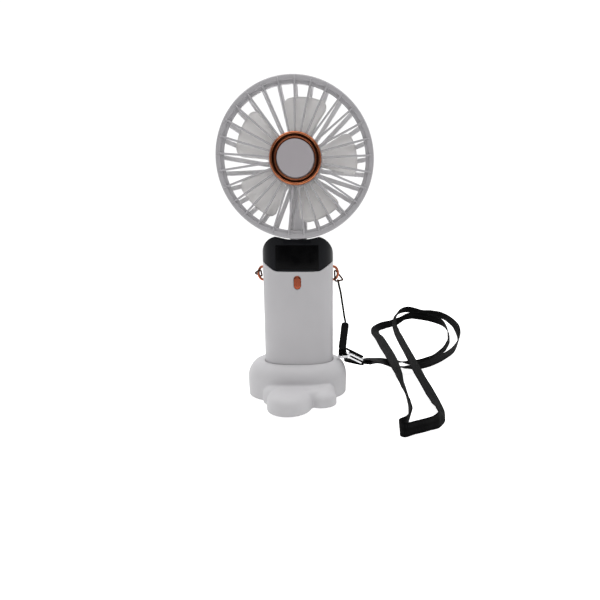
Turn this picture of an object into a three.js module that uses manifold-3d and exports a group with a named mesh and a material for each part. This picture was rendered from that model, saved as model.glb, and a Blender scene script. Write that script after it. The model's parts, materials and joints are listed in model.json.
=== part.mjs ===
// Handheld electric fan on a cloud-shaped desk stand, in millimetres.
// +Z is up, the fan blows towards -Y, and the origin is on the desk, on the handle's axis.
import * as THREE from 'three';
import { mergeVertices } from 'three/addons/utils/BufferGeometryUtils.js';
import Module from 'manifold-3d';

const wasm = await Module();
wasm.setup();

// ---- driving dimensions ----
const GAP = 0.3;

const HEAD_Z = 153.6;
const HEAD_R = 48;
const HEAD_FRONT_Y = -18.5;
const HEAD_SEAM_Y = -9.15;
const BAR_COUNT = 29;
const BOWL_RIM_Y = -6;
const BOWL_BACK_Y = 13;
const HUB_R = 16.3;

const BLADE_COUNT = 5;
const BLADE_TIP_R = 38.3;
const BLADE_ARC = THREE.MathUtils.degToRad(46);
const BLADE_PHASE = THREE.MathUtils.degToRad(80);
const BLADE_LEAD = 12;
const BLADE_MID_Y = -9;
const BLADE_THICK = 1.4;

const HANDLE_HALF_W = 23.35;
const HANDLE_HALF_D = 16.4;
const HANDLE_POWER = 2.5;
const HANDLE_WALL = 1.8;
const HANDLE_BOTTOM_Z = 8.3;
const CHIN_Z = 84.9;
const CHIN_HALF_W = 14.7;
const SHOULDER_Z = 91.2;
const CAP_TOP_Z = 107.3;
const CAP_CORNER_R = 12;
const SADDLE_R = 48.6;

const HINGE_Y = 11;
const HINGE_Z = 101.5;
const HINGE_PIN_R = 1.5;
const BARREL_R = 4;
const NECK_HALF_W = 5.6;
const NOTCH_HALF_W = 6.2;

const BUTTON_Z = 78;
const BUTTON_W = 4.4;
const BUTTON_H = 8.5;

const LOOP_Z = 83.1;
const LOOP_RISE = 4.4;
const LOOP_REACH = 3.3;
const LOOP_WIRE_R = 0.85;
const LINK_WIRE_R = 0.5;
const LINK_BEND_R = 0.8;

const CELL_R = 9.2;
const CELL_H = 65;
const DECK_Z = 76.3;

const STAND_WALL = 2.2;
const STAND_BOTTOM_Z = 0.9;
const SOCKET_FLOOR_Z = 8;
const SOCKET_PLAY = 0.35;

const STRAP_D = 3;
const STRING_D = 1.2;

// ---- materials ----
const material = (color, roughness, metalness = 0) =>
  new THREE.MeshStandardMaterial({ color, roughness, metalness });
const MAT = {
  shell: material(0xd9d8d8, 0.45),
  cloud: material(0xe2e1e0, 0.6),
  blade: material(0xcfcac6, 0.35),
  black: material(0x1b1c20, 0.35),
  window: material(0x08080a, 0.08),
  badge: material(0x9e9a9d, 0.4, 0.3),
  copper: material(0xb66a45, 0.25, 1),
  darkCopper: material(0x5b3325, 0.3, 1),
  steel: material(0xb9bcc0, 0.3, 1),
  crimp: material(0xd8dadd, 0.2, 1),
  magnet: material(0x2e2d2f, 0.6),
  winding: material(0xb0622c, 0.35, 0.8),
  board: material(0x1f5b3a, 0.5),
  cell: material(0x3b6ea8, 0.4),
  rubber: material(0x8b8d8f, 0.9),
  webbing: material(0x101012, 0.85),
};

// ---- solids ----
function signedVolume(position, index) {
  const [a, b, c] = [new THREE.Vector3(), new THREE.Vector3(), new THREE.Vector3()];
  let total = 0;
  for (let i = 0; i < index.count; i += 3) {
    a.fromBufferAttribute(position, index.getX(i));
    b.fromBufferAttribute(position, index.getX(i + 1));
    c.fromBufferAttribute(position, index.getX(i + 2));
    total += a.dot(b.cross(c)) / 6;
  }
  return total;
}

function toSolid(geometry) {
  const bare = geometry.clone();
  bare.deleteAttribute('normal');
  bare.deleteAttribute('uv');
  const merged = mergeVertices(bare, 1e-4);
  const kept = [];
  for (let i = 0; i < merged.index.count; i += 3) {
    const face = [0, 1, 2].map((k) => merged.index.getX(i + k));
    if (new Set(face).size === 3) kept.push(...face);
  }
  merged.setIndex(kept);
  if (signedVolume(merged.attributes.position, merged.index) < 0) {
    for (let i = 0; i < kept.length; i += 3) [kept[i], kept[i + 1]] = [kept[i + 1], kept[i]];
  }
  const vertProperties = new Float32Array(merged.attributes.position.array);
  const triVerts = new Uint32Array(kept);
  return new wasm.Manifold(new wasm.Mesh({ numProp: 3, vertProperties, triVerts }));
}

function toGeometry(solid) {
  const mesh = solid.getMesh();
  const geometry = new THREE.BufferGeometry();
  geometry.setAttribute('position', new THREE.BufferAttribute(new Float32Array(mesh.vertProperties), 3));
  geometry.setIndex(Array.from(mesh.triVerts));
  geometry.computeVertexNormals();
  return geometry;
}

const join = (solids) => solids.reduce((sum, solid) => sum.add(solid));
const cut = (body, tools) => tools.reduce((rest, tool) => rest.subtract(tool), body);

function piece(name, solid, look) {
  const mesh = new THREE.Mesh(toGeometry(solid), look);
  mesh.name = name;
  return mesh;
}

// ---- shape helpers ----
function box(x0, x1, y0, y1, z0, z1) {
  const geometry = new THREE.BoxGeometry(x1 - x0, y1 - y0, z1 - z0);
  geometry.translate((x0 + x1) / 2, (y0 + y1) / 2, (z0 + z1) / 2);
  return toSolid(geometry);
}

function extrude(points, depth) {
  const shape = new THREE.Shape(points.map(([x, y]) => new THREE.Vector2(x, y)));
  return new THREE.ExtrudeGeometry(shape, { depth, bevelEnabled: false, curveSegments: 8 });
}

// outline in (x, y), from z0 up to z1
function prismZ(points, z0, z1) {
  return toSolid(extrude(points, z1 - z0).translate(0, 0, z0));
}

// outline in (x, z), from y0 back to y1
function prismY(points, y0, y1) {
  return toSolid(extrude(points, y1 - y0).rotateX(Math.PI / 2).translate(0, y1, 0));
}

const ALONG_X = new THREE.Matrix4().makeBasis(
  new THREE.Vector3(0, 1, 0),
  new THREE.Vector3(0, 0, 1),
  new THREE.Vector3(1, 0, 0),
);

// outline in (y, z), from x0 to x1
function prismX(points, x0, x1) {
  return toSolid(extrude(points, x1 - x0).applyMatrix4(ALONG_X).translate(x0, 0, 0));
}

function circle(radius, sides, cx = 0, cy = 0) {
  const points = [];
  for (let i = 0; i < sides; i++) {
    const a = (2 * Math.PI * (i + 0.5)) / sides;
    points.push([cx + radius * Math.cos(a), cy + radius * Math.sin(a)]);
  }
  return points;
}

// profile of [radius, y] pairs, turned about the Y axis
function lathe(profile, segments) {
  const points = profile.map(([r, y]) => new THREE.Vector2(r, y));
  return toSolid(new THREE.LatheGeometry(points, segments));
}

function ring(rIn, rOut, y0, y1, segments) {
  return lathe([[rIn, y0], [rOut, y0], [rOut, y1], [rIn, y1], [rIn, y0]], segments);
}

function disc(r, y0, y1, segments) {
  return lathe([[0, y0], [r, y0], [r, y1], [0, y1]], segments);
}

function superellipse(halfW, halfD, power, count) {
  const points = [];
  for (let i = 0; i < count; i++) {
    const a = (2 * Math.PI * i) / count;
    const [c, s] = [Math.cos(a), Math.sin(a)];
    const x = Math.sign(c) * halfW * Math.abs(c) ** (2 / power);
    const y = Math.sign(s) * halfD * Math.abs(s) ** (2 / power);
    points.push([x, y]);
  }
  return points;
}

// closed solid through rings of equal point counts, given as [x, y, z] triples
function loft(rings) {
  const n = rings[0].length;
  const positions = rings.flat(2);
  const index = [];
  for (let k = 0; k + 1 < rings.length; k++) {
    for (let i = 0; i < n; i++) {
      const j = (i + 1) % n;
      const [a, b, c, d] = [k * n + i, k * n + j, (k + 1) * n + j, (k + 1) * n + i];
      index.push(a, b, c, a, c, d);
    }
  }
  for (const [k, flip] of [[0, true], [rings.length - 1, false]]) {
    const centre = [0, 1, 2].map((axis) => rings[k].reduce((sum, p) => sum + p[axis], 0) / n);
    const hub = positions.length / 3;
    positions.push(...centre);
    for (let i = 0; i < n; i++) {
      const [a, b] = [k * n + i, k * n + ((i + 1) % n)];
      index.push(...(flip ? [hub, b, a] : [hub, a, b]));
    }
  }
  const geometry = new THREE.BufferGeometry();
  geometry.setAttribute('position', new THREE.Float32BufferAttribute(positions, 3));
  geometry.setIndex(index);
  return toSolid(geometry);
}

// round wire or cord along a curve
function tube(curve, diameter, steps, sides = 8) {
  const shape = new THREE.Shape(circle(diameter / 2, sides).map(([x, y]) => new THREE.Vector2(x, y)));
  return toSolid(new THREE.ExtrudeGeometry(shape, { steps, extrudePath: curve, bevelEnabled: false }));
}

const vec = ([x, y, z]) => new THREE.Vector3(x, y, z);
const spline = (points) => new THREE.CatmullRomCurve3(points.map(vec), false, 'centripetal');

function turnedAboutY(solid, angle) {
  return solid.rotate([0, THREE.MathUtils.radToDeg(-angle), 0]);
}

// ---- head: front grille ----
function frontGrille() {
  const rim = lathe([
    [43.3, HEAD_FRONT_Y], [HEAD_R - 0.9, HEAD_FRONT_Y], [HEAD_R, HEAD_FRONT_Y + 1],
    [HEAD_R, HEAD_SEAM_Y - GAP / 2], [46.2, HEAD_SEAM_Y - GAP / 2],
    [46.2, HEAD_FRONT_Y + 2.4], [43.3, HEAD_FRONT_Y + 1.8], [43.3, HEAD_FRONT_Y],
  ], 2 * BAR_COUNT);
  const hub = disc(HUB_R, -17.6, -15.4, BAR_COUNT);
  const bar = box(HUB_R - 0.5, 46.6, HEAD_FRONT_Y - 0.5, HEAD_FRONT_Y + 1.6, -0.5, 0.5);
  const bars = [];
  for (let i = 0; i < BAR_COUNT; i++) {
    bars.push(turnedAboutY(bar, Math.PI / 2 + (2 * Math.PI * i) / BAR_COUNT));
  }
  return join([rim, hub, ...bars]);
}

const trimRing = () => lathe([
  [11.55, -17.9], [15.75, -17.9], [15.75, -19.1], [15.2, -19.9], [14.5, -19.9],
  [14, -18.8], [12.9, -18.8], [12.6, -19.6], [12.15, -19.6], [11.75, -18.4], [11.55, -17.9],
], 32);

const hubBadge = () => lathe([[0, -17.9], [11.24, -17.9], [11.24, -19.8], [11, -20.05], [0, -20.05]], 36);

// ---- head: rear grille, strut and neck ----
function rearGrille() {
  const wall = lathe([
    [46.2, HEAD_SEAM_Y + GAP / 2], [HEAD_R, HEAD_SEAM_Y + GAP / 2], [HEAD_R, BOWL_RIM_Y - 1],
    [HEAD_R - 1, BOWL_RIM_Y], [45.9, BOWL_RIM_Y], [46.2, HEAD_SEAM_Y + GAP / 2],
  ], 2 * BAR_COUNT);
  const slatOutline = [
    [47.2, -7.2], [46.6, -4.6], [40.6, 0.2], [32.4, 5.2], [24.4, 10], [18.4, BOWL_BACK_Y],
    [14.4, BOWL_BACK_Y], [14.4, BOWL_BACK_Y - 1.6], [17.6, BOWL_BACK_Y - 1.8],
    [23.6, 8], [31.6, 3.2], [39.6, -1.8], [45.2, -6], [45.7, -7.2],
  ];
  const single = toSolid(extrude(slatOutline, 2.8).translate(0, 0, -1.4));
  const slats = [];
  for (let i = 0; i < BAR_COUNT; i++) {
    slats.push(turnedAboutY(single, Math.PI / 2 + (2 * Math.PI * i) / BAR_COUNT));
  }
  const hub = disc(15.5, 11.4, 13, 36);
  const hubRim = ring(14.2, 15.5, 12.4, 15.4, 36);
  const strut = box(-6, 6, 9.4, BOWL_BACK_Y, -45, -13);
  const foot = box(-7, 7, BOWL_RIM_Y - 2.5, 4, 106.2 - HEAD_Z, 109.6 - HEAD_Z);
  const post = box(8, 11.6, BOWL_RIM_Y - 2.5, -3, 107.5 - HEAD_Z, 110.8 - HEAD_Z);
  const posts = [post, post.mirror([1, 0, 0])];
  const gusset = box(-NECK_HALF_W, NECK_HALF_W, 1, 14.6, 106.1 - HEAD_Z, 110.5 - HEAD_Z);
  const neckZ = HINGE_Z - HEAD_Z;
  const neck = box(-NECK_HALF_W, NECK_HALF_W, HINGE_Y - 3.8, HINGE_Y + 3.6, neckZ, neckZ + 9);
  const barrel = prismX(circle(BARREL_R, 16, HINGE_Y, neckZ), -NECK_HALF_W, NECK_HALF_W);
  const bore = prismX(circle(HINGE_PIN_R + 0.25, 16, HINGE_Y, neckZ), -NECK_HALF_W - 1, NECK_HALF_W + 1);
  const screwHoles = motorScrewPlaces().map(([x, z]) => prismY(circle(1.15, 8, x, z), 11, 13.6));
  const tubeHole = disc(4.6, 10.8, 13.6, 16);
  const body = join([wall, ...slats, hub, hubRim, strut, foot, ...posts, gusset, neck, barrel]);
  return cut(body, [bore, tubeHole, ...screwHoles]);
}

function motorScrewPlaces() {
  return [0, 1, 2].map((i) => {
    const a = Math.PI / 2 + (2 * Math.PI * i) / 3;
    return [9.5 * Math.cos(a), 9.5 * Math.sin(a)];
  });
}

// ---- head: motor ----
function motorMount() {
  const body = lathe([
    [3.05, -9], [4.2, -9], [4.2, 8.6], [13, 8.6], [13, 11], [3.05, 11], [3.05, -9],
  ], 24);
  const holes = motorScrewPlaces().map(([x, z]) => prismY(circle(0.95, 8, x, z), 8, 12));
  return cut(body, holes);
}

function motorScrew(x, z) {
  const screw = lathe([[0, 9.4], [0.8, 9.4], [0.8, 13.2], [1.6, 13.2], [1.6, 14.1], [0, 14.1]], 8);
  return screw.translate([x, 0, z]);
}

const rearHubCover = () => lathe([
  [0, 14.6], [12.6, 14.6], [12.6, 13.4], [13.85, 13.4], [13.85, 15.4], [12.9, 16.1], [0, 16.1],
], 36);

const STATOR_TEETH = 6;

function statorCore() {
  const core = ring(4.5, 6, -8.4, -3, 24);
  const stem = box(5.8, 8.6, -8.4, -3, -0.8, 0.8);
  const shoe = box(8.1, 8.7, -8.4, -3, -2.4, 2.4);
  const teeth = [];
  for (let i = 0; i < STATOR_TEETH; i++) {
    teeth.push(turnedAboutY(stem.add(shoe), (2 * Math.PI * i) / STATOR_TEETH));
  }
  return join([core, ...teeth]);
}

function statorCoil(i) {
  const outer = box(6.35, 7.9, -9.6, -1.8, -1.9, 1.9);
  const hole = box(6, 9, -8.55, -2.85, -0.95, 0.95);
  return turnedAboutY(outer.subtract(hole), (2 * Math.PI * i) / STATOR_TEETH);
}

const rotorBell = () => lathe([
  [1.2, -11.3], [11.6, -11.3], [11.6, -0.6], [11, -0.6], [11, -10.7], [1.2, -10.7], [1.2, -11.3],
], 32);

// ---- rotor: five helical blades on a cup ----
function bladeTip(fromEdge) {
  const corner = 5;
  const inset = Math.max(0, corner - fromEdge);
  return BLADE_TIP_R - (corner - Math.sqrt(corner * corner - inset * inset));
}

function blade(centre) {
  const columns = [0, 0.03, 0.12, 0.37, 0.63, 0.88, 0.97, 1];
  const rows = [0, 0.5, 1];
  const root = 12.7;
  const rings = columns.map((u) => {
    const swing = (u - 0.5) * BLADE_ARC;
    const a = centre + swing;
    const edge = Math.min(u, 1 - u) * BLADE_ARC * BLADE_TIP_R;
    const y = BLADE_MID_Y + BLADE_LEAD * swing;
    const at = (t, side) => {
      const r = root + (bladeTip(edge) - root) * t;
      return [r * Math.cos(a), y + (side * BLADE_THICK) / 2, r * Math.sin(a)];
    };
    return [...rows.map((t) => at(t, -1)), ...rows.toReversed().map((t) => at(t, 1))];
  });
  return loft(rings);
}

function impeller() {
  const cup = lathe([
    [0, -13.2], [12.4, -13.2], [13.4, -12.2], [13.4, -0.6], [12, -0.6], [12, -11.7], [0, -11.7],
  ], 32);
  const blades = [];
  for (let i = 0; i < BLADE_COUNT; i++) blades.push(blade(BLADE_PHASE + (2 * Math.PI * i) / BLADE_COUNT));
  return join([cup, ...blades]);
}

// ---- handle ----
const section = (inset, count = 48) =>
  superellipse(HANDLE_HALF_W - inset, HANDLE_HALF_D - inset, HANDLE_POWER, count);

// the line where the white sleeve meets the black cap, lowered by drop
function chinOutline(drop) {
  const w = HANDLE_HALF_W + 3;
  const slope = (SHOULDER_Z - CHIN_Z) / (HANDLE_HALF_W - CHIN_HALF_W);
  const edge = SHOULDER_Z + 3 * slope;
  return [
    [-w, edge - drop], [-CHIN_HALF_W - 1.6, CHIN_Z + 1.2 - drop], [-CHIN_HALF_W + 1.4, CHIN_Z - drop],
    [CHIN_HALF_W - 1.4, CHIN_Z - drop], [CHIN_HALF_W + 1.6, CHIN_Z + 1.2 - drop], [w, edge - drop],
    [w, 130], [-w, 130],
  ];
}

function stadium(cx, cz, halfW, halfH) {
  const points = [];
  for (const [sign, from] of [[1, 0], [-1, Math.PI]]) {
    for (let i = 0; i <= 6; i++) {
      const a = from + (Math.PI * i) / 6;
      points.push([cx + halfW * Math.cos(a), cz + sign * (halfH - halfW) + halfW * Math.sin(a)]);
    }
  }
  return points;
}

const turned = (points) => points.map(([x, z]) => [z, x]);

function loopLegHoles(side) {
  return [-1, 1].map((end) => {
    const z = LOOP_Z + end * LOOP_RISE;
    const [x0, x1] = side > 0 ? [20, 26] : [-26, -20];
    return prismX(circle(LOOP_WIRE_R + 0.25, 8, 0, z), x0, x1);
  });
}

function usbOutline(grow) {
  return turned(stadium(79.6, 0, 1.6 + grow, 4.47 + grow));
}

function handleSleeve() {
  const outer = prismZ(section(0), HANDLE_BOTTOM_Z, 100);
  const hollow = prismZ(section(HANDLE_WALL), HANDLE_BOTTOM_Z - 1, 101);
  const button = prismY(stadium(0, BUTTON_Z, BUTTON_W / 2 + 0.2, BUTTON_H / 2 + 0.2), -20, -10);
  const usb = prismY(usbOutline(0.25), 10, 20);
  const chin = prismY(chinOutline(0), -30, 30);
  return cut(outer, [hollow, button, usb, chin, ...loopLegHoles(1), ...loopLegHoles(-1)]);
}

function capBlank(inset, top) {
  const plan = prismZ(section(inset), CHIN_Z - 10, top + 5);
  const r = CAP_CORNER_R - inset;
  const w = HANDLE_HALF_W - inset;
  const outline = [[-w, 60], [w, 60]];
  for (let i = 0; i <= 8; i++) {
    const a = (Math.PI / 2) * (i / 8);
    outline.push([w - r + r * Math.cos(a), top - r + r * Math.sin(a)]);
  }
  for (let i = 0; i <= 8; i++) {
    const a = Math.PI / 2 + (Math.PI / 2) * (i / 8);
    outline.push([-w + r + r * Math.cos(a), top - r + r * Math.sin(a)]);
  }
  const front = prismY(outline, -30, 30);
  const d = HANDLE_HALF_D - inset;
  const roll = 5;
  const side = [[-d, 60], [d, 60]];
  for (const [sign, from] of [[1, 0], [-1, Math.PI / 2]]) {
    for (let i = 0; i <= 4; i++) {
      const a = from + (Math.PI / 2) * (i / 4);
      side.push([sign * (d - roll) + roll * Math.cos(a), top - roll + roll * Math.sin(a)]);
    }
  }
  return plan.intersect(front).intersect(prismX(side, -40, 40));
}

const WINDOW_HALF_W = 13.6;
const WINDOW_LOW_Z = 86.4;
const WINDOW_HIGH_Z = 101.6;

const windowBlock = (play) => box(
  -WINDOW_HALF_W - play, WINDOW_HALF_W + play, -20, -13.8 + play, WINDOW_LOW_Z - play, WINDOW_HIGH_Z + play,
);

function displayCap() {
  const lip = prismY(chinOutline(-GAP), -30, 30);
  const body = capBlank(0, CAP_TOP_Z).intersect(lip);
  const tray = prismZ(section(2), 80, 95.6);
  const bay = box(-15.6, 15.6, -12.8, 5.2, 90, 103.2);
  const notch = box(-NOTCH_HALF_W, NOTCH_HALF_W, 5.9, 25, 96.6, 120);
  const pinHole = prismX(circle(HINGE_PIN_R + 0.12, 16, HINGE_Y, HINGE_Z), -13.4, 13.4);
  const saddle = disc(SADDLE_R, -30, 30, 116).translate([0, 0, HEAD_Z]);
  return cut(body, [tray, bay, notch, pinHole, saddle, windowBlock(0.15), windowWay()]);
}

// the display shows through this opening behind the window
const windowWay = () => box(-12.4, 12.4, -16, -12, 88, 100);

const displayWindow = () => windowBlock(0).intersect(prismZ(section(0.25), 80, 110));

function bottomCap() {
  return prismZ(section(HANDLE_WALL + 0.25), HANDLE_BOTTOM_Z + 0.2, HANDLE_BOTTOM_Z + 2.2);
}

function innerChassis() {
  const deck = prismZ(section(HANDLE_WALL + 0.3), DECK_Z, DECK_Z + 1.2);
  const notch = box(-4, 4, -17, -11.6, 70, 85);
  const rail = (x0, x1) => box(x0, x1, -5, 5, DECK_Z + 0.5, 94.8);
  return cut(join([deck, rail(17.6, 19.4), rail(-19.4, -17.6)]), [notch]);
}

const batteryCell = (x) => lathe([
  [0, 0], [CELL_R - 0.4, 0], [CELL_R, 0.5], [CELL_R, CELL_H - 1.5], [CELL_R - 0.8, CELL_H - 1],
  [3.4, CELL_H - 1], [3.2, CELL_H], [0, CELL_H],
], 20).rotate([90, 0, 0]).translate([x, 0, 11]);

const controlBoard = () => box(-14.5, 14.5, -8.4, -7.2, DECK_Z + 1.5, 102.4);
const displayModule = () => box(-12.2, 12.2, -12.6, -8.7, 87.4, 100.8);
const chargeBoard = () => box(-9, 9, 6.6, 7.8, 77.8, 92);

function usbSocket() {
  const can = prismY(usbOutline(0), 8.1, 16);
  const mouth = prismY(usbOutline(-0.4), 9, 17);
  const tongue = box(-3.3, 3.3, 8.5, 14.8, 79.25, 79.95);
  return can.subtract(mouth).add(tongue);
}

function tactSwitch() {
  return join([
    box(-2.6, 2.6, -11, -8.7, 78.1, 83.3),
    prismY(circle(1.4, 10, 0, 80.6), -12.4, -10.5),
  ]);
}

function powerButton() {
  const top = prismY(stadium(0, BUTTON_Z, BUTTON_W / 2, BUTTON_H / 2), -16.9, -13.7);
  const flange = prismY(stadium(0, BUTTON_Z, BUTTON_W / 2 + 0.9, BUTTON_H / 2 + 0.9), -14.2, -13.1);
  return top.add(flange);
}

const hingePin = () => prismX(circle(HINGE_PIN_R, 16, HINGE_Y, HINGE_Z), -13, 13);

function hingeWasher(x0, x1) {
  const outer = prismX(circle(3.6, 16, HINGE_Y, HINGE_Z), x0, x1);
  return outer.subtract(prismX(circle(HINGE_PIN_R + 0.15, 16, HINGE_Y, HINGE_Z), x0 - 1, x1 + 1));
}

function lanyardLoop(side) {
  const wall = HANDLE_HALF_W * side;
  const points = [[20.6 * side, 0, LOOP_Z + LOOP_RISE], [22.4 * side, 0, LOOP_Z + LOOP_RISE]];
  for (let i = 0; i <= 8; i++) {
    const a = Math.PI / 2 - (Math.PI * i) / 8;
    points.push([wall + side * LOOP_REACH * Math.cos(a), 0, LOOP_Z + LOOP_RISE * Math.sin(a)]);
  }
  points.push([22.4 * side, 0, LOOP_Z - LOOP_RISE], [20.6 * side, 0, LOOP_Z - LOOP_RISE]);
  return tube(spline(points), 2 * LOOP_WIRE_R, 24);
}

// small triangular wire link through the half-ring loop: straight sides, each corner bent round an arc
// that is wider than the wire is thick
function wireLink(corners) {
  const places = corners.map(vec);
  const normal = new THREE.Vector3().crossVectors(
    places[1].clone().sub(places[0]), places[2].clone().sub(places[0])).normalize();
  const bends = 6;
  const sides = 6;
  const rings = [];
  places.forEach((corner, i) => {
    const toLast = places[(i + 2) % 3].clone().sub(corner).normalize();
    const toNext = places[(i + 1) % 3].clone().sub(corner).normalize();
    const half = toLast.angleTo(toNext) / 2;
    const middle = toLast.clone().add(toNext).normalize();
    const centre = corner.clone().addScaledVector(middle, LINK_BEND_R / Math.sin(half));
    const turn = Math.PI - 2 * half;
    for (let k = 0; k <= bends; k++) {
      const out = middle.clone().negate().applyAxisAngle(normal, turn * (k / bends - 0.5));
      const at = centre.clone().addScaledVector(out, LINK_BEND_R);
      const loop = [];
      for (let j = 0; j < sides; j++) {
        const t = (2 * Math.PI * j) / sides;
        const p = at.clone().addScaledVector(out, LINK_WIRE_R * Math.cos(t));
        loop.push(p.addScaledVector(normal, LINK_WIRE_R * Math.sin(t)).toArray());
      }
      rings.push(loop);
    }
  });
  return closedLoft(rings);
}

// like loft, but the last ring joins the first
function closedLoft(rings) {
  const n = rings[0].length;
  const index = [];
  for (let k = 0; k < rings.length; k++) {
    const next = (k + 1) % rings.length;
    for (let i = 0; i < n; i++) {
      const j = (i + 1) % n;
      index.push(k * n + i, k * n + j, next * n + j, k * n + i, next * n + j, next * n + i);
    }
  }
  const geometry = new THREE.BufferGeometry();
  geometry.setAttribute('position', new THREE.Float32BufferAttribute(rings.flat(2), 3));
  geometry.setIndex(index);
  return toSolid(geometry);
}

const LEFT_LINK = [[-29, 0, 83.1], [-24.7, -3.8, 85.9], [-24.7, 3.8, 80.2]];
const RIGHT_LINK = [[24.5, 4, 85.8], [30.2, -0.2, 78.4], [24.6, -4, 77.7]];

// ---- lanyard ----
// The string hangs from the right link, and the strap lies on the desk beside the stand.
const STRING_ROUTE = [
  [26.9, -2.1, 75.7], [28.3, -1.9, 71], [29.3, -1.5, 65.8],
  [30.1, -1.2, 60], [31, -1, 53.5], [31.9, -1, 49.3],
];
const SLEEVE_TOP = [31.9, -1, 49];
const SLEEVE_BOTTOM = [29.7, -1, 30.6];
const CRIMP_START = [33.8, 0, 26.7];
const CRIMP_END = [43.4, 0, 21.8];
const STRAP_ROUTE = [
  [45.4, 2, 21.2], [49.5, 14, 17.8], [55, 27, 14.2], [65.5, 43, 9.4], [77, 49, 6.8], [91, 50, 5.4],
  [105, 57, 5.2], [121, 78, 5.2], [137, 108, 5.4], [149, 141, 6], [158, 178, 8], [159, 202, 10],
  [151, 218, 12], [139, 227, 13.5], [129, 236, 12.5], [117, 232, 9.5], [104, 218, 7], [90, 207, 6],
  [79, 190, 5.5], [75, 165, 5.5], [75.5, 140, 6.5], [74, 90, 8.6], [72.4, 60, 11.2], [71, 37, 13],
  [69, 6, 14.2], [68.4, -14, 12], [68.6, -28, 9.5], [68.4, -38, 7.5], [67.7, -49, 6], [65.8, -59, 5.2],
  [61.5, -69, 5.2], [57, -75, 5.2], [59, -78, 5.2], [66, -74.5, 5], [75, -70, 5], [81.5, -64.5, 5],
  [84.5, -56, 5], [86, -44, 5], [86.6, -28, 5.6], [86.8, -11, 7], [86.5, 6, 8.8], [87, 27, 10.8],
  [88, 51, 12], [90, 85, 12.2], [93, 123, 11.8], [97, 162, 11.5], [101.5, 192, 13], [107.5, 217, 16],
  [116, 236, 18.6], [126, 243, 19.4], [136, 243, 17.6], [144.5, 240, 15.6], [156, 237, 15.4], [166, 227, 14],
  [170.5, 204, 11.3], [167.5, 171, 9], [158, 135, 7], [142, 98, 5.4], [126.5, 73, 5.2], [111, 54, 5.2],
  [96.5, 41, 5.4], [85, 35.5, 6], [75, 33, 7.4], [66, 31, 9.8], [54.6, 17.5, 15.9], [45.4, -1.8, 19.9],
];

// flat bar with rounded ends between two points, its width along Y
function flatBar(from, to, widths, thick) {
  const [a, b] = [vec(from), vec(to)];
  const along = b.clone().sub(a);
  const across = new THREE.Vector3(0, 1, 0);
  const up = new THREE.Vector3().crossVectors(along, across).normalize();
  const rings = widths.map(([t, width]) => {
    const at = a.clone().addScaledVector(along, t);
    return superellipse(thick / 2, width / 2, 3, 16).map(([u, v]) =>
      at.clone().addScaledVector(up, u).addScaledVector(across, v).toArray());
  });
  return loft(rings);
}

const lanyardSleeve = () => flatBar(SLEEVE_TOP, SLEEVE_BOTTOM, [[0, 2.6], [0.08, 3.2], [1, 3.4]], 5.4);
const lanyardTab = () => flatBar([29.8, -1, 30], [30.1, -1, 25.9], [[0, 4], [1, 4]], 4.8);
const lanyardCrimp = () => flatBar(CRIMP_START, CRIMP_END, [[0, 8], [0.06, 8.6], [0.94, 8.6], [1, 8]], 3.2);

// ---- stand ----
// Upper tier that holds the socket: [height, growth] of its section above the desk.
const TIER = [[0.9, 0], [13, 0.4], [17.5, -0.8], [21, -2.6], [23.4, -4.5], [25, -6.2]];
const TIER_AT = [-1.3, 1.2];
const TIER_HALF_W = 33.7;
const TIER_HALF_D = 25.4;
const TIER_POWER = 2.3;
const TIER_POINTS = 28;

// Round lobes of the lower tier: centre x, y, radii x, y, height.
const LOBES = [
  [-5, -31, 14.4, 17.6, 12.6],
  [15.2, -25.6, 9.8, 9.8, 10.4],
  [0.5, -20, 23.5, 14.5, 12.6],
];
const LOBE_BASE_Z = 0.5;

function cloud(inset) {
  const rings = TIER.map(([z, grow]) => {
    const size = [TIER_HALF_W + grow - inset, TIER_HALF_D + grow - inset];
    const level = z > SOCKET_FLOOR_Z ? z - inset : z;
    return superellipse(...size, TIER_POWER, TIER_POINTS).map(([x, y]) =>
      [x + TIER_AT[0], y + TIER_AT[1], level]);
  });
  const lobes = LOBES.map(([x, y, rx, ry, h]) => {
    const ball = new THREE.SphereGeometry(1, 18, 10);
    ball.rotateX(Math.PI / 2);
    ball.scale(rx - inset, ry - inset, h - inset);
    return toSolid(ball.translate(x, y, LOBE_BASE_Z));
  });
  const slab = box(-80, 80, -80, 80, STAND_BOTTOM_Z, 60);
  return join([loft(rings), ...lobes]).intersect(slab);
}

const SCREW_PLACES = [[-26, 6], [24, 6], [-5, -34], [15, -27]];

function standShell() {
  const socket = prismZ(section(-SOCKET_PLAY), SOCKET_FLOOR_Z, 40);
  const cup = prismZ(section(-SOCKET_PLAY - 2), SOCKET_FLOOR_Z - 2, 40);
  const posts = SCREW_PLACES.map(([x, y]) => prismZ(circle(2.8, 10, x, y), 3.7, 20));
  const cavity = cut(cloud(STAND_WALL), [cup, ...posts]);
  const mouth = prismZ([[-60, -60], [60, -60], [60, 40], [-60, 40]], 0, STAND_BOTTOM_Z + 0.6);
  const pilots = SCREW_PLACES.map(([x, y]) => prismZ(circle(1.3, 8, x, y), 0, 8.4));
  return cut(cloud(0), [cavity, cloud(STAND_WALL).intersect(mouth), socket, ...pilots]);
}

function standPlate() {
  const slab = box(-80, 80, -80, 80, 1.5, 3.4);
  const plate = cloud(STAND_WALL + GAP).intersect(slab);
  const holes = SCREW_PLACES.map(([x, y]) => join([
    prismZ(circle(1.4, 8, x, y), 0, 5),
    prismZ(circle(2.7, 10, x, y), 0, 2.5),
  ]));
  return cut(plate, holes);
}

function standScrew(x, y) {
  return lathe([[0, 1.6], [2.2, 1.6], [2.2, 2.4], [1.05, 2.4], [1.05, 7.8], [0, 8.1]], 8)
    .rotate([90, 0, 0]).translate([x, y, 0]);
}

const antiSlipSole = () => cloud(STAND_WALL + 1.4).translate([0, 0, -0.9]).intersect(box(-80, 80, -80, 80, 0, 1.2));

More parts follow.
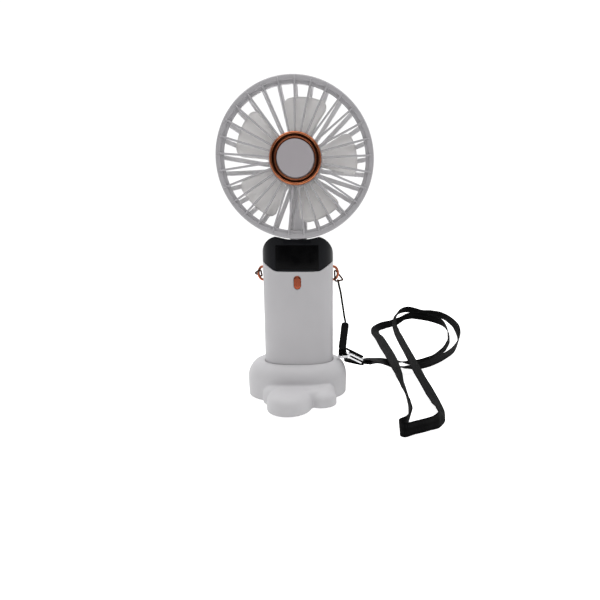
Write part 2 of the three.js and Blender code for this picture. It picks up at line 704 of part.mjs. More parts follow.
// ---- assembly ----
const fan = new THREE.Group();

function addStand() {
  fan.add(piece('stand_shell', standShell(), MAT.cloud));
  fan.add(piece('stand_bottom_plate', standPlate(), MAT.cloud));
  fan.add(piece('anti_slip_sole', antiSlipSole(), MAT.rubber));
  SCREW_PLACES.forEach(([x, y], i) => fan.add(piece(`stand_screw_${i + 1}`, standScrew(x, y), MAT.steel)));
}

function addHandle() {
  fan.add(piece('handle_sleeve', handleSleeve(), MAT.shell));
  fan.add(piece('handle_bottom_cap', bottomCap(), MAT.shell));
  fan.add(piece('inner_chassis', innerChassis(), MAT.black));
  fan.add(piece('battery_cell_1', batteryCell(-9.5), MAT.cell));
  fan.add(piece('battery_cell_2', batteryCell(9.5), MAT.cell));
  fan.add(piece('control_board', controlBoard(), MAT.board));
  fan.add(piece('charge_board', chargeBoard(), MAT.board));
  fan.add(piece('usb_c_socket', usbSocket(), MAT.steel));
  fan.add(piece('display_module', displayModule(), MAT.magnet));
  fan.add(piece('display_cap', displayCap(), MAT.black));
  fan.add(piece('display_window', displayWindow(), MAT.window));
  fan.add(piece('tact_switch', tactSwitch(), MAT.magnet));
  fan.add(piece('power_button', powerButton(), MAT.copper));
  fan.add(piece('hinge_pin', hingePin(), MAT.steel));
  fan.add(piece('hinge_washer_left', hingeWasher(-6.05, -5.75), MAT.black));
  fan.add(piece('hinge_washer_right', hingeWasher(5.75, 6.05), MAT.black));
}

function addLanyard() {
  fan.add(piece('lanyard_loop_left', lanyardLoop(-1), MAT.copper));
  fan.add(piece('lanyard_loop_right', lanyardLoop(1), MAT.copper));
  fan.add(piece('wire_link_left', wireLink(LEFT_LINK), MAT.darkCopper));
  fan.add(piece('wire_link_right', wireLink(RIGHT_LINK), MAT.darkCopper));
  fan.add(piece('lanyard_string', tube(spline(STRING_ROUTE), STRING_D, 12), MAT.webbing));
  fan.add(piece('lanyard_sleeve', lanyardSleeve(), MAT.black));
  fan.add(piece('lanyard_tab', lanyardTab(), MAT.webbing));
  fan.add(piece('lanyard_crimp', lanyardCrimp(), MAT.crimp));
  fan.add(piece('wrist_strap', tube(spline(STRAP_ROUTE), STRAP_D, 120), MAT.webbing));
}

function addHead() {
  const head = new THREE.Group();
  head.position.z = HEAD_Z;
  head.add(piece('front_grille', frontGrille(), MAT.shell));
  head.add(piece('hub_trim_ring', trimRing(), MAT.copper));
  head.add(piece('hub_badge_disc', hubBadge(), MAT.badge));
  head.add(piece('rear_grille', rearGrille(), MAT.shell));
  head.add(piece('rear_hub_cover', rearHubCover(), MAT.shell));
  head.add(piece('motor_mount', motorMount(), MAT.shell));
  motorScrewPlaces().forEach(([x, z], i) => head.add(piece(`motor_screw_${i + 1}`, motorScrew(x, z), MAT.steel)));
  head.add(piece('motor_board', ring(4.6, 11, 1.6, 2.6, 20), MAT.board));
  head.add(piece('stator_core', statorCore(), MAT.steel));
  for (let i = 0; i < STATOR_TEETH; i++) head.add(piece(`stator_coil_${i + 1}`, statorCoil(i), MAT.winding));
  head.add(piece('bearing_front', ring(1.15, 2.85, -8.4, -4.4, 16), MAT.steel));
  head.add(piece('bearing_rear', ring(1.15, 2.85, 5, 9, 16), MAT.steel));
  head.add(piece('impeller', impeller(), MAT.blade));
  head.add(piece('rotor_bell', rotorBell(), MAT.steel));
  head.add(piece('magnet_ring', ring(9.3, 10.7, -10.3, -1.2, 32), MAT.magnet));
  head.add(piece('motor_shaft', disc(0.95, -11.2, 10, 12), MAT.steel));
  fan.add(head);
}

addStand();
addHandle();
addLanyard();
addHead();

export default fan;
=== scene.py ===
"""Handheld electric fan on a cloud-shaped desk stand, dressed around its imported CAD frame.

Shapes are worked out in millimetres and become metres when a mesh is made.
+Z is up, the fan blows towards -Y, and the origin is on the desk, on the handle's axis.
"""
import json
import math

import bmesh
import bpy
from mathutils import Matrix, Vector


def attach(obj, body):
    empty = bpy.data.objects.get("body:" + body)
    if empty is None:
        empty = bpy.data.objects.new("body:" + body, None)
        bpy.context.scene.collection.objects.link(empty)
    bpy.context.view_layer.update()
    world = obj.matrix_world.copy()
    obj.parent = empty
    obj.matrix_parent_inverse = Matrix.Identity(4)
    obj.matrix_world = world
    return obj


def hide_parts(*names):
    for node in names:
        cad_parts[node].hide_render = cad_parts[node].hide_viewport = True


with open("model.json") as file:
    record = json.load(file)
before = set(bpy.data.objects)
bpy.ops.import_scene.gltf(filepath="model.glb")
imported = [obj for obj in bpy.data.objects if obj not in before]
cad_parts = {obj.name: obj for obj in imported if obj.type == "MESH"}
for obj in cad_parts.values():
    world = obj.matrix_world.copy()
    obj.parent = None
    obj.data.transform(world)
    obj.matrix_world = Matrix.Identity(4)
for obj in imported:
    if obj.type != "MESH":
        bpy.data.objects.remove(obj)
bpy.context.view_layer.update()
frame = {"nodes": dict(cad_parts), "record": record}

MM = 0.001
TAU = 2 * math.pi
scene = bpy.context.scene

# ---- dimensions shared with the CAD model, in mm ----
HEAD_Z = 153.6
HEAD_R = 48.0
FRONT_Y = -18.5
SEAM_Y = -9.15
BAR_COUNT = 29
BOWL_RIM_Y = -6.0
BOWL_BACK_Y = 13.0
BLADE_COUNT = 5
BLADE_TIP_R = 38.3
BLADE_ARC = math.radians(46)
BLADE_PHASE = math.radians(80)
BLADE_LEAD = 12.0
BLADE_MID_Y = -9.0

HANDLE_W = 23.35
HANDLE_D = 16.4
HANDLE_POWER = 2.5
HANDLE_WALL = 1.8
HANDLE_LOW_Z = 8.3
CHIN_Z = 84.9
CHIN_W = 14.7
SHOULDER_Z = 91.2
CAP_TOP_Z = 107.3
CAP_CORNER_R = 12.0
CAP_ROLL_R = 5.0
SADDLE_R = 48.6
GAP = 0.3
WINDOW_W = 13.6
WINDOW_LOW_Z = 86.4
WINDOW_HIGH_Z = 101.6

HINGE_Y = 11.0
HINGE_Z = 101.5
NECK_W = 5.6
NOTCH_W = 6.2
BUTTON_Z = 78.0
BUTTON_W = 2.2
BUTTON_H = 4.25
LOOP_Z = 83.1
LOOP_RISE = 4.4
LOOP_REACH = 3.3
LOOP_WIRE_R = 0.85
LINK_BEND_R = 0.8
LEFT_LINK = [(-29, 0, 83.1), (-24.7, -3.8, 85.9), (-24.7, 3.8, 80.2)]
RIGHT_LINK = [(24.5, 4, 85.8), (30.2, -0.2, 78.4), (24.6, -4, 77.7)]

STRING_ROUTE = [
    (26.6, -2.2, 78.4), (27.0, -2.2, 76.6), (27.5, -2.1, 74.2), (28.1, -2.0, 71.8), (28.6, -1.8, 69.4),
    (29.0, -1.6, 67.0), (29.5, -1.4, 63.6), (30.1, -1.2, 60.0), (30.6, -1.1, 56.6), (31.1, -1.0, 53.2),
    (31.6, -1.0, 50.8), (31.9, -1.0, 49.3), (31.85, -1.0, 48.4), (31.75, -1.0, 47.2), (31.65, -1.0, 46.0),
]
SLEEVE_TOP = (31.9, -1, 49)
SLEEVE_BOTTOM = (29.7, -1, 30.6)
CRIMP_START = (33.8, 0, 26.7)
CRIMP_END = (43.4, 0, 21.8)
STRAP_W = 9.4
STRAP_THICK = 0.8
# route of the wrist strap, then how far its width leans up from the horizontal there, in degrees
STRAP = [
    ((45.4, 2, 21.2), 0), ((49.5, 14, 17.8), -6), ((55, 27, 14.2), -12), ((65.5, 43, 9.4), -12),
    ((77, 49, 6.8), 4), ((91, 50, 5.4), 38),
    ((105, 57, 5.2), 56), ((121, 78, 5.2), 68), ((137, 108, 5.4), 84), ((149, 141, 6), 104),
    ((158, 178, 8), 110), ((159, 202, 10), 106),
    ((151, 218, 12), 98), ((139, 227, 13.5), 80), ((129, 236, 12.5), 48), ((117, 232, 9.5), 14),
    ((104, 218, 7), 40), ((90, 207, 6), 50),
    ((79, 190, 5.5), 26), ((75, 165, 5.5), 4), ((75.5, 140, 6.5), -6), ((74, 90, 8.6), -4),
    ((72.4, 60, 11.2), 4), ((71, 37, 13), 12),
    ((69, 6, 14.2), 28), ((68.4, -14, 12), 48), ((68.6, -28, 9.5), 56), ((68.4, -38, 7.5), 76),
    ((67.7, -49, 6), 92), ((65.8, -59, 5.2), 104),
    ((61.5, -69, 5.2), 98), ((57, -75, 5.2), 84), ((59, -78, 5.2), 78), ((66, -74.5, 5), 76),
    ((75, -70, 5), 78), ((81.5, -64.5, 5), 96),
    ((84.5, -56, 5), 126), ((86, -44, 5), 148), ((86.6, -28, 5.6), 156), ((86.8, -11, 7), 158),
    ((86.5, 6, 8.8), 158), ((87, 27, 10.8), 158),
    ((88, 51, 12), 158), ((90, 85, 12.2), 160), ((93, 123, 11.8), 160), ((97, 162, 11.5), 146),
    ((101.5, 192, 13), 118), ((107.5, 217, 16), 72),
    ((116, 236, 18.6), 60), ((126, 243, 19.4), 60), ((136, 243, 17.6), 58), ((144.5, 240, 15.6), 57),
    ((156, 237, 15.4), 60), ((166, 227, 14), 75),
    ((170.5, 204, 11.3), 92), ((167.5, 171, 9), 110), ((158, 135, 7), 104), ((142, 98, 5.4), 100),
    ((126.5, 73, 5.2), 110), ((111, 54, 5.2), 114),
    ((96.5, 41, 5.4), 122), ((85, 35.5, 6), 148), ((75, 33, 7.4), 176), ((66, 31, 9.8), 191),
    ((54.6, 17.5, 15.9), 190), ((45.4, -1.8, 19.9), 180),
]

# ---- dimensions that only the looks use, in mm ----
LINK_WIRE_R = 0.58  # 0.5 in the CAD model
STRING_STRAND_R = 0.36
STRING_ASIDE = (0.36, 0.1, 0)
CRIMP_HALF_W = 4.3
CRIMP_RING_R = 0.7
USB_Z = 79.6
USB_W = 4.72
USB_H = 1.85

# ---- camera ----
CAMERA_AT = (14.0, -289.95, 103.55)
CAMERA_YAW = math.radians(2.95)
CAMERA_PITCH = math.radians(9.34)
CAMERA_ROLL = math.radians(-0.16)
CAMERA_LENS = 25.63
CAMERA_SHIFT = (-0.0685, 0.021)


def add_camera():
    data = bpy.data.cameras.new("camera")
    data.sensor_width = 36
    data.lens = CAMERA_LENS
    data.shift_x, data.shift_y = CAMERA_SHIFT
    data.clip_start = 0.01
    camera = bpy.data.objects.new("camera", data)
    scene.collection.objects.link(camera)
    ahead = Vector((
        math.sin(CAMERA_YAW) * math.cos(CAMERA_PITCH),
        math.cos(CAMERA_YAW) * math.cos(CAMERA_PITCH),
        -math.sin(CAMERA_PITCH),
    ))
    right = Vector((math.cos(CAMERA_YAW), -math.sin(CAMERA_YAW), 0))
    down = ahead.cross(right)
    tilted_right = right * math.cos(CAMERA_ROLL) + down * math.sin(CAMERA_ROLL)
    tilted_down = down * math.cos(CAMERA_ROLL) - right * math.sin(CAMERA_ROLL)
    turn = Matrix((tilted_right, -tilted_down, -ahead)).transposed()
    camera.matrix_world = Matrix.Translation(Vector(CAMERA_AT) * MM) @ turn.to_4x4()
    scene.camera = camera


# ---- materials ----
class Look:
    """A Principled material with helpers that wire procedural nodes to it."""

    def __init__(self, name, **sockets):
        self.material = bpy.data.materials.new(name)
        self.material.use_nodes = True
        self.tree = self.material.node_tree
        self.shader = self.tree.nodes["Principled BSDF"]
        for key, value in sockets.items():
            self.shader.inputs[key.replace("_", " ")].default_value = value

    def node(self, kind, inputs=(), **settings):
        made = self.tree.nodes.new("ShaderNode" + kind)
        for key, value in settings.items():
            setattr(made, key, value)
        for key, value in dict(inputs).items():
            if isinstance(value, bpy.types.NodeSocket):
                self.tree.links.new(value, made.inputs[key])
            else:
                made.inputs[key].default_value = value
        return made

    def place(self, stretch=(1, 1, 1)):
        coords = self.node("TexCoord").outputs["Object"]
        if stretch == (1, 1, 1):
            return coords
        return self.node("Mapping", {"Vector": coords, "Scale": stretch}).outputs[0]

    def noise(self, scale, detail=2.0, stretch=(1, 1, 1)):
        inputs = {"Vector": self.place(stretch), "Scale": scale, "Detail": detail}
        return self.node("TexNoise", inputs).outputs["Fac"]

    def blend(self, amount, low, high, at=(0.3, 0.7)):
        ramp = self.node("ValToRGB", {"Fac": amount})
        for stop, place, colour in zip(ramp.color_ramp.elements, at, (low, high)):
            stop.position = place
            stop.color = (*colour, 1) if len(colour) == 3 else colour
        return ramp.outputs["Color"]

    def spread(self, amount, low, high):
        inputs = {"Value": amount, "From Min": 0.3, "From Max": 0.7, "To Min": low, "To Max": high}
        return self.node("MapRange", inputs).outputs[0]

    def feed(self, socket, output):
        self.tree.links.new(output, self.shader.inputs[socket])

    def bumps(self, *heights):
        """Stacks (height output, depth in metres) pairs into one bump."""
        normal = None
        for height, depth in heights:
            inputs = {"Height": height, "Distance": depth, "Strength": 1.0}
            if normal:
                inputs["Normal"] = normal
            normal = self.node("Bump", inputs).outputs[0]
        self.feed("Normal", normal)


def shade(colour, factor):
    return tuple(min(1.0, c * factor) for c in colour)


def moulded(name, colour, roughness, mottle=0.03, grain=0.000012, ripple=0.00002, **sockets):
    """Moulded plastic: fine spark-eroded grain, faint flow ripple, slight mottling."""
    look = Look(name, **sockets)
    broad = look.noise(38, 3)
    fine = look.noise(4200, 2)
    look.feed("Base Color", look.blend(broad, shade(colour, 1 - mottle), shade(colour, 1 + mottle)))
    look.feed("Roughness", look.spread(look.noise(150, 4), roughness - 0.05, roughness + 0.05))
    look.bumps((broad, ripple), (fine, grain))
    return look.material


def metal(name, colour, roughness):
    """Plated or plain metal with hairline polish marks."""
    mottle = 0.06
    look = Look(name, Metallic=1.0)
    cloudy = look.noise(260, 4)
    hair = look.noise(900, 3, (1, 7, 1))
    look.feed("Base Color", look.blend(cloudy, shade(colour, 1 - mottle), shade(colour, 1 + mottle)))
    look.feed("Roughness", look.spread(hair, roughness * 0.7, roughness * 1.35))
    look.bumps((hair, 0.000004))
    return look.material


def webbing(name):
    """Black ribbed webbing: cross ribs from the weave coordinates, with a painted sheen (paler base colour)
    on the crowns.
    """
    look = Look(name, Specular_IOR_Level=0.05)
    weave = look.node("UVMap", uv_map="weave").outputs[0]
    ribs = look.node("TexWave", {"Vector": weave, "Scale": 330.0, "Distortion": 0.4, "Detail": 1.0},
                     wave_type="BANDS", bands_direction="X").outputs["Fac"]
    threads = look.node("TexWave", {"Vector": weave, "Scale": 560.0, "Distortion": 0.3, "Detail": 1.0},
                        wave_type="BANDS", bands_direction="Y").outputs["Fac"]
    fuzz = look.noise(2600, 3)
    crossing = look.node("Math", {0: ribs, 1: threads}, operation="MULTIPLY").outputs[0]
    # painted sheen: the base colour is paler where ribs and threads cross
    look.feed("Base Color",
              look.blend(crossing, (0.0012, 0.0012, 0.0014), (0.0055, 0.0055, 0.0062), (0.1, 0.9)))
    look.feed("Roughness", look.spread(fuzz, 0.6, 0.8))
    look.bumps((crossing, 0.00016), (fuzz, 0.00003))
    return look.material


def braided(name):
    look = Look(name, Specular_IOR_Level=0.06)
    twist = look.node("TexWave", {"Vector": look.place(), "Scale": 520.0, "Distortion": 1.5},
                      wave_type="BANDS", bands_direction="DIAGONAL").outputs["Fac"]
    look.feed("Base Color", look.blend(twist, (0.0015, 0.0015, 0.0015), (0.006, 0.006, 0.0065), (0.2, 0.8)))
    look.feed("Roughness", look.spread(look.noise(2400), 0.5, 0.7))
    look.bumps((twist, 0.00012))
    return look.material


def board(name):
    """Circuit board: green mask with paler copper tracks under it."""
    look = Look(name, Coat_Weight=0.3)
    tracks = look.node("TexVoronoi", {"Vector": look.place(), "Scale": 520.0},
                       distance="MANHATTAN").outputs["Distance"]
    look.feed("Base Color", look.blend(tracks, (0.03, 0.16, 0.07), (0.012, 0.075, 0.035), (0.25, 0.45)))
    look.feed("Roughness", look.spread(look.noise(300), 0.25, 0.4))
    look.bumps((tracks, 0.00004))
    return look.material


def wound(name):
    look = Look(name, Metallic=1.0)
    turns = look.node("TexWave", {"Vector": look.place(), "Scale": 900.0, "Distortion": 0.3},
                      wave_type="BANDS", bands_direction="Y").outputs["Fac"]
    look.feed("Base Color", look.blend(turns, (0.30, 0.09, 0.03), (0.72, 0.30, 0.12), (0.2, 0.8)))
    look.feed("Roughness", look.spread(look.noise(800), 0.25, 0.4))
    look.bumps((turns, 0.0001))
    return look.material


def foam(name):
    look = Look(name, Specular_IOR_Level=0.3)
    cells = look.node("TexVoronoi", {"Vector": look.place(), "Scale": 2200.0}).outputs["Distance"]
    look.feed("Base Color", look.blend(cells, (0.20, 0.205, 0.21), (0.30, 0.305, 0.31), (0.1, 0.6)))
    look.feed("Roughness", look.spread(look.noise(600), 0.82, 0.95))
    look.bumps((cells, 0.00015))
    return look.material


SHELL = (0.54, 0.53, 0.546)
LOOKS = {
    "stand_plastic": moulded("stand_plastic", (0.60, 0.592, 0.607), 0.46, grain=0.000010),
    "sole_rubber": foam("sole_rubber"),
    "steel": metal("steel", (0.55, 0.56, 0.58), 0.30),
    "shell_plastic": moulded("shell_plastic", SHELL, 0.40, grain=0.000007),
    # painted shade: a darker copy of the white shell plastic, for the grille ring that faces the camera
    "grille_painted_shade_plastic": moulded("grille_painted_shade_plastic", (0.43, 0.42, 0.437), 0.40, grain=0.000007),
    # painted light: a lighter copy of the white shell plastic for the backlit rear slats, besides its real
    # transmission
    "rear_painted_light_plastic": moulded("rear_painted_light_plastic", (0.90, 0.89, 0.905), 0.40, grain=0.000007,
                            Transmission_Weight=0.3),
    "inner_plastic": moulded("inner_plastic", (0.022, 0.022, 0.024), 0.5, mottle=0.1),
    "cell_wrap": moulded("cell_wrap", (0.03, 0.12, 0.34), 0.28, mottle=0.08, Coat_Weight=0.4),
    "circuit_board": board("circuit_board"),
    "cap_plastic": moulded("cap_plastic", (0.0035, 0.004, 0.0058), 0.36, mottle=0.12, grain=0.000006,
                           Specular_IOR_Level=0.22),
    "window_gloss": moulded("window_gloss", (0.001, 0.001, 0.0013), 0.12, mottle=0.2, grain=0.0,
                            ripple=0.000004, Specular_IOR_Level=0.16),
    "copper_trim": metal("copper_trim", (0.70, 0.24, 0.11), 0.20),
    "button_copper": metal("button_copper", (0.42, 0.105, 0.055), 0.24),
    "loop_copper": metal("loop_copper", (0.50, 0.15, 0.075), 0.22),
    "dark_copper_wire": metal("dark_copper_wire", (0.05, 0.022, 0.014), 0.30),
    "badge_satin": moulded("badge_satin", (0.42, 0.395, 0.415), 0.38, mottle=0.02, grain=0.000005),
    # painted light: the blades' white is paler than the shell's to stand for light shining through them, on
    # top of real transmission
    "blade_plastic": moulded("blade_plastic", (0.95, 0.935, 0.925), 0.42, mottle=0.02, grain=0.000004,
                             Transmission_Weight=0.55),
    "magnet": moulded("magnet", (0.05, 0.05, 0.053), 0.6, mottle=0.2),
    "winding": wound("winding"),
    "webbing": webbing("webbing"),
    "string": braided("string"),
    "sleeve_plastic": moulded("sleeve_plastic", (0.0035, 0.0035, 0.0042), 0.5, mottle=0.15, grain=0.00002,
                              Specular_IOR_Level=0.1),
    "crimp_metal": metal("crimp_metal", (0.80, 0.80, 0.82), 0.22),
}


# ---- meshes ----
def make(name, shape):
    verts, faces = shape
    mesh = bpy.data.meshes.new(name)
    mesh.from_pydata([(x * MM, y * MM, z * MM) for x, y, z in verts], [], faces)
    work = bmesh.new()
    work.from_mesh(mesh)
    bmesh.ops.remove_doubles(work, verts=work.verts, dist=1e-7)
    bmesh.ops.recalc_face_normals(work, faces=work.faces)
    work.to_mesh(mesh)
    work.free()
    obj = bpy.data.objects.new(name, mesh)
    scene.collection.objects.link(obj)
    return obj


def apply_modifiers(obj):
    bpy.context.view_layer.update()
    graph = bpy.context.evaluated_depsgraph_get()
    obj.data = bpy.data.meshes.new_from_object(obj.evaluated_get(graph))
    obj.modifiers.clear()


def carve(obj, shapes, operation="DIFFERENCE"):
    """Cuts each shape out of obj, or keeps only what lies in it."""
    for shape in shapes:
        tool = make("tool", shape)
        modifier = obj.modifiers.new("carve", "BOOLEAN")
        modifier.operation = operation
        modifier.solver = "EXACT"
        modifier.object = tool
        apply_modifiers(obj)
        bpy.data.objects.remove(tool)


def soften(obj, width):
    """Rounds the sharp edges by width mm."""
    bevel = obj.modifiers.new("soften", "BEVEL")
    bevel.width = width * MM
    bevel.segments = 3
    bevel.limit_method = "ANGLE"
    bevel.angle_limit = math.radians(30)
    bevel.miter_outer = "MITER_ARC"
    apply_modifiers(obj)


def dress(obj, slot, body, *nodes, look=None, smooth=40):
    """Gives a piece the look of its slot (or of look), parents it to the body that it rides on and hides the
    CAD nodes that it stands for.
    """
    obj.data.materials.clear()
    obj.data.materials.append(LOOKS[look or slot])
    obj.data.shade_smooth()
    obj.data.set_sharp_from_angle(angle=math.radians(smooth))
    weighted = obj.modifiers.new("normals", "WEIGHTED_NORMAL")
    weighted.keep_sharp = True
    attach(obj, body)
    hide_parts(*nodes)
    return obj


def merged(*shapes):
    verts, faces = [], []
    for more_verts, more_faces in shapes:
        base = len(verts)
        verts.extend(more_verts)
        faces.extend(tuple(i + base for i in face) for face in more_faces)
    return verts, faces


def loft(rings, closed=False):
    n = len(rings[0])
    verts = [p for ring in rings for p in ring]
    faces = []
    spans = len(rings) if closed else len(rings) - 1
    for k in range(spans):
        a, b = k * n, ((k + 1) % len(rings)) * n
        faces += [(a + i, a + (i + 1) % n, b + (i + 1) % n, b + i) for i in range(n)]
    if not closed:
        faces.append(tuple(reversed(range(n))))
        faces.append(tuple(range((len(rings) - 1) * n, len(rings) * n)))
    return verts, faces


def prism(outline, low, high, axis):
    """Closed outline pushed along an axis: (x, y) along Z, (x, z) along Y, (y, z) along X."""
    place = {
        "z": lambda u, v, w: (u, v, w),
        "y": lambda u, v, w: (u, w, v),
        "x": lambda u, v, w: (w, u, v),
    }[axis]
    return loft([[place(u, v, w) for u, v in outline] for w in (low, high)])


def block(x0, x1, y0, y1, z0, z1):
    return prism([(x0, y0), (x1, y0), (x1, y1), (x0, y1)], z0, z1, "z")


def arc(cu, cv, radius, start, stop, steps):
    angles = [math.radians(start + (stop - start) * i / steps) for i in range(steps + 1)]
    return [(cu + radius * math.cos(a), cv + radius * math.sin(a)) for a in angles]


def circle(radius, sides, cu=0.0, cv=0.0):
    return arc(cu, cv, radius, 0, 360, sides)[:-1]


def fillet(points, radius, steps=3):
    """Rounds every corner of a closed outline; radius is one number or one for each corner."""
    radii = radius if isinstance(radius, (list, tuple)) else [radius] * len(points)
    rounded = []
    for i, (point, r) in enumerate(zip(points, radii)):
        here = Vector(point)
        before, after = Vector(points[i - 1]), Vector(points[(i + 1) % len(points)])
        if r <= 0:
            rounded.append(tuple(here))
            continue
        start = here + (before - here).normalized() * min(r, (before - here).length * 0.48)
        stop = here + (after - here).normalized() * min(r, (after - here).length * 0.48)
        for k in range(steps + 1):
            t = k / steps
            spot = start * (1 - t) ** 2 + here * (2 * t * (1 - t)) + stop * t ** 2
            rounded.append(tuple(spot))
    return rounded


def lathe(profile, segments, closed=True):
    """Turns (radius, y) pairs about the head's axis; an open profile starts and ends on the axis."""
    path = list(profile) + ([profile[0]] if closed else [])
    n = len(path)
    verts, faces = [], []
    for k in range(segments):
        a = TAU * k / segments
        verts += [(r * math.cos(a), y, HEAD_Z + r * math.sin(a)) for r, y in path]
        b = ((k + 1) % segments) * n
        faces += [(k * n + i, k * n + i + 1, b + i + 1, b + i) for i in range(n - 1)]
    return verts, faces


def spoke(stations, angle):
    """Radial bar: each station is a radius and its section of (sideways, y) pairs."""
    c, s = math.cos(angle), math.sin(angle)
    rings = [[(r * c - t * s, y, HEAD_Z + r * s + t * c) for t, y in section] for r, section in stations]
    return loft(rings)


def spline(points, per_span):
    """Centripetal Catmull-Rom line through the points."""
    pts = [Vector(p) for p in points]
    pts = [2 * pts[0] - pts[1], *pts, 2 * pts[-1] - pts[-2]]
    line = []
    for p0, p1, p2, p3 in zip(pts, pts[1:], pts[2:], pts[3:]):
        d0, d1, d2 = (max((b - a).length ** 0.5, 1e-4) for a, b in ((p0, p1), (p1, p2), (p2, p3)))
        m1 = ((p1 - p0) / d0 - (p2 - p0) / (d0 + d1) + (p2 - p1) / d1) * d1
        m2 = ((p2 - p1) / d1 - (p3 - p1) / (d1 + d2) + (p3 - p2) / d2) * d1
        for k in range(per_span):
            t = k / per_span
            line.append(
                p1 * (2 * t ** 3 - 3 * t ** 2 + 1) + m1 * (t ** 3 - 2 * t ** 2 + t)
                + p2 * (3 * t ** 2 - 2 * t ** 3) + m2 * (t ** 3 - t ** 2)
            )
    line.append(pts[-2])
    return line


def tangents(line, closed=False):
    n = len(line)
    if closed:
        return [(line[(i + 1) % n] - line[i - 1]).normalized() for i in range(n)]
    return [(line[min(i + 1, n - 1)] - line[max(i - 1, 0)]).normalized() for i in range(n)]


def tube(line, radius, sides=12, closed=False, radii=None):
    """Round wire along a line, its frame carried without twist."""
    ways = tangents(line, closed)
    side = ways[0].orthogonal().normalized()
    rings = []
    for i, (at, way) in enumerate(zip(line, ways)):
        side = (side - way * side.dot(way)).normalized()
        up = way.cross(side)
        r = radii[i] if radii else radius
        rings.append([tuple(at + side * (r * math.cos(TAU * k / sides))
                            + up * (r * math.sin(TAU * k / sides)))
                      for k in range(sides)])
    return loft(rings, closed)


def superellipse(half_w, half_d, power, count):
    points = []
    for i in range(count):
        c, s = math.cos(TAU * i / count), math.sin(TAU * i / count)
        points.append((math.copysign(half_w * abs(c) ** (2 / power), c),
                       math.copysign(half_d * abs(s) ** (2 / power), s)))
    return points


def section(inset):
    """Handle's outline from above, drawn in by inset."""
    return superellipse(HANDLE_W - inset, HANDLE_D - inset, HANDLE_POWER, 160)


def stadium(half_w, half_h, cv):
    reach = half_h - half_w
    return arc(0, cv + reach, half_w, 0, 180, 12) + arc(0, cv - reach, half_w, 180, 360, 12)


# ---- cords: the strap, and the string that carries its sleeve and crimp ----
def smoothstep(t):
    return t * t * (3 - 2 * t)


def strap_piece():
    """Flat webbing whose width leans by the angle given at each point of the route."""
    per_span = 10
    line = spline([p for p, _ in STRAP], per_span)
    lean = []
    for (_, a), (_, b) in zip(STRAP, STRAP[1:]):
        lean += [a + (b - a) * smoothstep(k / per_span) for k in range(per_span)]
    lean.append(STRAP[-1][1])
    outline = fillet(
        [(-STRAP_W / 2, -STRAP_THICK / 2), (STRAP_W / 2, -STRAP_THICK / 2),
         (STRAP_W / 2, STRAP_THICK / 2), (-STRAP_W / 2, STRAP_THICK / 2)], STRAP_THICK / 2, 3)
    rings = []
    for at, way, angle in zip(line, tangents(line), lean):
        side = way.cross(Vector((0, 0, 1))).normalized()
        up = side.cross(way)
        a = math.radians(angle)
        across = side * math.cos(a) + up * math.sin(a)
        out = across.cross(way)
        rings.append([tuple(at + across * u + out * v) for u, v in outline])
    obj = make("wrist_strap_webbing", loft(rings))
    lay_weave(obj, line)
    dress(obj, "webbing", "handle", "wrist_strap", smooth=50)
    return obj


def lay_weave(obj, line):
    """Weave coordinates in metres: along the webbing, then across it."""
    spots = [p * MM for p in line]
    run = [0.0]
    for a, b in zip(spots, spots[1:]):
        run.append(run[-1] + (b - a).length)
    layer = obj.data.uv_layers.new(name="weave")
    nearest = {}
    per_ring = len(obj.data.vertices) // len(line)
    for vertex in obj.data.vertices:
        ring = min(vertex.index // per_ring, len(line) - 1)
        nearest[vertex.index] = (run[ring], (vertex.index % per_ring) * 0.0011)
    for loop in obj.data.loops:
        layer.data[loop.index].uv = nearest[loop.vertex_index]


def lay_flat_weave(obj, lengthways, crossways):
    """Weave coordinates of a short piece, straight from where it lies."""
    layer = obj.data.uv_layers.new(name="weave")
    for loop in obj.data.loops:
        spot = obj.data.vertices[loop.vertex_index].co
        layer.data[loop.index].uv = (getattr(spot, lengthways), getattr(spot, crossways))


def string_piece():
    """Doubled cord: up one strand, over the link's wire and down the other."""
    centre = spline(STRING_ROUTE, 4)
    aside = Vector(STRING_ASIDE)
    up = [p - aside for p in reversed(centre)]
    top = centre[0]
    bend = [top + Vector((0, 0.33 * -math.cos(t), 0.45 * math.sin(t))) for t in (0.8, 1.57, 2.34)]
    line = up + bend + [p + aside for p in centre]
    obj = make("lanyard_string_cord", tube(line, STRING_STRAND_R, 10))
    dress(obj, "webbing", "handle", "lanyard_string", look="string")
    return obj, centre


def along(start, stop, stations, steps=20, power=3.2):
    """Flat fitting between two points: stations are (how far, width, thickness)."""
    a, b = Vector(start), Vector(stop)
    way = b - a
    across = Vector((0, 1, 0))
    up = way.cross(across).normalized()
    rings = []
    for t, width, thick in stations:
        at = a + way * t
        outline = superellipse(thick / 2, width / 2, power, steps)
        rings.append([tuple(at + up * u + across * v) for u, v in outline])
    return loft(rings)


def sleeve_piece():
    """Moulded sleeve: domed shoulders, a grip waist and three shallow ribs."""
    stations = [(0, 1.3, 2.2), (0.012, 1.9, 3.4), (0.035, 2.5, 4.5), (0.07, 2.8, 5.0), (0.12, 2.95, 5.2)]
    for k in range(12):
        t = 0.2 + 0.06 * k
        dip = 0.16 if 2 <= k <= 8 and k % 2 == 0 else 0.0
        stations.append((t, 3.1 - dip, 5.35 - 2 * dip))
    stations += [(0.95, 3.3, 5.4), (0.985, 3.15, 5.25), (1, 2.7, 4.8)]
    obj = make("lanyard_sleeve_moulding", along(SLEEVE_TOP, SLEEVE_BOTTOM, stations, 28))
    return dress(obj, "sleeve_plastic", "handle", "lanyard_sleeve")


